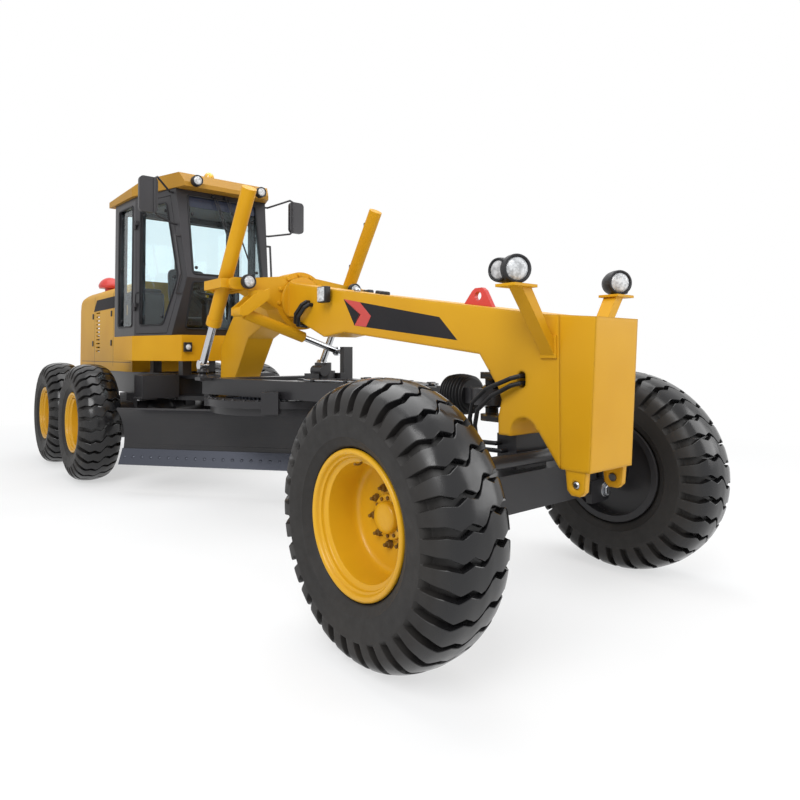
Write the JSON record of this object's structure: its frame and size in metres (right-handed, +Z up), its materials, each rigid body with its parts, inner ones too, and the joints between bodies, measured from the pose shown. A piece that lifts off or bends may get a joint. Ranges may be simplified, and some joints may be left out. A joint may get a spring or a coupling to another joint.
{
  "type": "motor grader",
  "caption": "Motor grader with an articulated frame, leaning front wheels, a glazed cab and a blade hung on a turning circle.",
  "frame": {"origin": "on the ground under the middle of the machine", "axes": "+X forward along the machine, +Y to its left, +Z up"},
  "size_m": [8.97, 2.601, 3.61],
  "materials": {
    "tyre": "moulded rubber",
    "rim_paint": "gloss",
    "glass": "tinted clear",
    "chrome_rod": "polished",
    "yellow_paint": "gloss",
    "red_paint": "gloss",
    "grey_paint": "satin",
    "seat_cover": "woven",
    "boot_rubber": "matt",
    "lamp_housing": "satin",
    "amber_lens": "clear",
    "engine_iron": "matt",
    "edge_steel": "worn",
    "black_paint": "satin"
  },
  "bodies": {
    "rear_frame": {"rear_frame": "black_paint", "tandem_axle": "black_paint", "hood": "yellow_paint", "engine_block": "engine_iron", "rear_grille": "black_paint", "exhaust": "engine_iron", "air_cleaner": "red_paint", "cab_base": "yellow_paint", "cab_frame": "grey_paint", "cab_roof": "yellow_paint", "cab_glass": "glass", "seat": "seat_cover", "steering_console": "grey_paint", "mirrors": "grey_paint", "cab_lamps": "lamp_housing", "beacon": "amber_lens", "step_boxes": "black_paint"},
    "front_frame": {"gooseneck": "yellow_paint", "saddle": "yellow_paint", "front_axle": "black_paint", "lifting_lug": "red_paint", "lamp_brackets": "yellow_paint", "front_lamps": "lamp_housing", "hoses": "boot_rubber"},
    "lean_left": {"lean_yoke_left": "black_paint"},
    "lean_right": {"lean_yoke_right": "black_paint"},
    "lean_bar": {"lean_bar": "black_paint"},
    "knuckle_left": {"knuckle_left": "black_paint"},
    "knuckle_right": {"knuckle_right": "black_paint"},
    "ball_bearing": {"ball_bearing": "chrome_rod"},
    "drawbar": {"drawbar": "black_paint", "drawbar_boot": "boot_rubber"},
    "circle": {"turn_circle": "black_paint"},
    "blade_carrier": {"blade_carrier": "black_paint"},
    "moldboard": {"moldboard": "black_paint", "cutting_edge": "edge_steel"},
    "shift_barrel": {"shift_barrel": "yellow_paint"},
    "shift_rod": {"shift_rod": "chrome_rod"},
    "wheel_front_left": {"tyre_front_left": "tyre", "rim_front_left": "rim_paint"},
    "wheel_mid_left": {"tyre_mid_left": "tyre", "rim_mid_left": "rim_paint"},
    "wheel_rear_left": {"tyre_rear_left": "tyre", "rim_rear_left": "rim_paint"},
    "wheel_front_right": {"tyre_front_right": "tyre", "rim_front_right": "rim_paint"},
    "wheel_mid_right": {"tyre_mid_right": "tyre", "rim_mid_right": "rim_paint"},
    "wheel_rear_right": {"tyre_rear_right": "tyre", "rim_rear_right": "rim_paint"},
    "lift_yoke_left": {"lift_yoke_left": "yellow_paint"},
    "lift_barrel_left": {"lift_barrel_left": "yellow_paint"},
    "lift_rod_left": {"lift_rod_left": "chrome_rod"},
    "lift_yoke_right": {"lift_yoke_right": "yellow_paint"},
    "lift_barrel_right": {"lift_barrel_right": "yellow_paint"},
    "lift_rod_right": {"lift_rod_right": "chrome_rod"},
    "door_left": {"door_left": "grey_paint", "door_glass_left": "glass"},
    "door_right": {"door_right": "grey_paint", "door_glass_right": "glass"}
  },
  "joints": [
    {"name": "articulation", "type": "hinge", "parent": "rear_frame", "child": "front_frame", "pos_m": [-0.25, 0, 1.095], "axis": [0, 0, 1], "range_deg": [-27, 27]},
    {"name": "lean_left", "type": "hinge", "parent": "front_frame", "child": "lean_left", "pos_m": [3.81, 0.64, 0.6], "axis": [1, 0, 0], "range_deg": [-17, 17]},
    {"name": "lean_right", "type": "hinge", "parent": "front_frame", "child": "lean_right", "pos_m": [3.81, -0.64, 0.6], "axis": [1, 0, 0], "range_deg": [-17, 17]},
    {"name": "lean_bar_slide", "type": "slide", "parent": "front_frame", "child": "lean_bar", "axis": [0, 1, 0], "range_m": [-0.081, 0.081]},
    {"name": "steer_left", "type": "hinge", "parent": "lean_left", "child": "knuckle_left", "pos_m": [3.81, 0.8, 0.675], "axis": [0, 0, 1], "range_deg": [-45, 45]},
    {"name": "steer_right", "type": "hinge", "parent": "lean_right", "child": "knuckle_right", "pos_m": [3.81, -0.8, 0.675], "axis": [0, 0, 1], "range_deg": [-45, 45]},
    {"name": "wheel_front_left_spin", "type": "hinge", "parent": "knuckle_left", "child": "wheel_front_left", "pos_m": [3.81, 1.078, 0.675], "axis": [0, 1, 0], "continuous": true},
    {"name": "wheel_mid_left_spin", "type": "hinge", "parent": "rear_frame", "child": "wheel_mid_left", "pos_m": [-1.64, 1.078, 0.675], "axis": [0, 1, 0], "continuous": true},
    {"name": "wheel_rear_left_spin", "type": "hinge", "parent": "rear_frame", "child": "wheel_rear_left", "pos_m": [-3.178, 1.078, 0.675], "axis": [0, 1, 0], "continuous": true},
    {"name": "wheel_front_right_spin", "type": "hinge", "parent": "knuckle_right", "child": "wheel_front_right", "pos_m": [3.81, -1.078, 0.675], "axis": [0, 1, 0], "continuous": true},
    {"name": "wheel_mid_right_spin", "type": "hinge", "parent": "rear_frame", "child": "wheel_mid_right", "pos_m": [-1.64, -1.078, 0.675], "axis": [0, 1, 0], "continuous": true},
    {"name": "wheel_rear_right_spin", "type": "hinge", "parent": "rear_frame", "child": "wheel_rear_right", "pos_m": [-3.178, -1.078, 0.675], "axis": [0, 1, 0], "continuous": true},
    {"name": "drawbar_swing", "type": "hinge", "parent": "front_frame", "child": "ball_bearing", "pos_m": [3.56, 0, 1.2], "axis": [0, 0, 1], "range_deg": [-8, 8]},
    {"name": "drawbar_lift", "type": "hinge", "parent": "ball_bearing", "child": "drawbar", "pos_m": [3.56, 0, 1.2], "axis": [0, 1, 0], "range_deg": [-19, 2.7]},
    {"name": "circle_turn", "type": "hinge", "parent": "drawbar", "child": "circle", "pos_m": [1.05, 0, 1], "axis": [0, 0, 1], "continuous": true},
    {"name": "blade_tip", "type": "hinge", "parent": "circle", "child": "blade_carrier", "pos_m": [0.71446, 0.39988, 0.5], "axis": [0.766, 0.6428, 0], "range_deg": [-5, 35]},
    {"name": "blade_shift", "type": "slide", "parent": "blade_carrier", "child": "moldboard", "axis": [-0.766, -0.6428, 0], "range_m": [-0.61, 0.29]},
    {"name": "lift_yoke_left_roll", "type": "hinge", "parent": "front_frame", "child": "lift_yoke_left", "pos_m": [1.1, 0.66, 2.065], "axis": [1, 0, 0], "range_deg": [-31, 31]},
    {"name": "lift_barrel_left_tilt", "type": "hinge", "parent": "lift_yoke_left", "child": "lift_barrel_left", "pos_m": [1.1, 0.66, 2.065], "axis": [0, 1, 0], "range_deg": [-24, 4]},
    {"name": "lift_rod_left_stroke", "type": "slide", "parent": "lift_barrel_left", "child": "lift_rod_left", "axis": [-0.5311, 0, -0.8473], "range_m": [-0.13, 0.85]},
    {"name": "lift_yoke_right_roll", "type": "hinge", "parent": "front_frame", "child": "lift_yoke_right", "pos_m": [1.1, -0.66, 2.065], "axis": [1, 0, 0], "range_deg": [-31, 31]},
    {"name": "lift_barrel_right_tilt", "type": "hinge", "parent": "lift_yoke_right", "child": "lift_barrel_right", "pos_m": [1.1, -0.66, 2.065], "axis": [0, 1, 0], "range_deg": [-24, 4]},
    {"name": "lift_rod_right_stroke", "type": "slide", "parent": "lift_barrel_right", "child": "lift_rod_right", "axis": [-0.5311, 0, -0.8473], "range_m": [-0.13, 0.85]},
    {"name": "shift_barrel_tilt", "type": "hinge", "parent": "front_frame", "child": "shift_barrel", "pos_m": [1.375, -0.64, 1.82], "axis": [1, 0, 0], "range_deg": [-6, 6]},
    {"name": "shift_rod_stroke", "type": "slide", "parent": "shift_barrel", "child": "shift_rod", "axis": [0, 0.9496, -0.3134], "range_m": [-0.28, 0.28]},
    {"name": "door_left_hinge", "type": "hinge", "parent": "rear_frame", "child": "door_left", "pos_m": [-1.04, 0.75979, 2.4], "axis": [0, 0, 1], "range_deg": [0, 80]},
    {"name": "door_right_hinge", "type": "hinge", "parent": "rear_frame", "child": "door_right", "pos_m": [-1.04, -0.75979, 2.4], "axis": [0, 0, -1], "range_deg": [0, 80]}
  ],
  "couplings": [
    {"joint": "lean_right", "follows": "lean_left", "ratio": 1},
    {"joint": "lean_bar_slide", "follows": "lean_left", "m_per_rad": -0.27},
    {"joint": "steer_right", "follows": "steer_left", "ratio": 1},
    {"joint": "shift_barrel_tilt", "follows": "drawbar_swing", "ratio": -0.66},
    {"joint": "shift_rod_stroke", "follows": "drawbar_swing", "m_per_rad": -1.955},
    {"joint": "lift_yoke_left_roll", "follows": "drawbar_swing", "ratio": -3.75},
    {"joint": "lift_barrel_left_tilt", "follows": "drawbar_lift", "ratio": 1.2},
    {"joint": "lift_rod_left_stroke", "follows": "drawbar_lift", "m_per_rad": -2.54},
    {"joint": "lift_yoke_right_roll", "follows": "drawbar_swing", "ratio": -3.75},
    {"joint": "lift_barrel_right_tilt", "follows": "drawbar_lift", "ratio": 1.2},
    {"joint": "lift_rod_right_stroke", "follows": "drawbar_lift", "m_per_rad": -2.54}
  ]
}
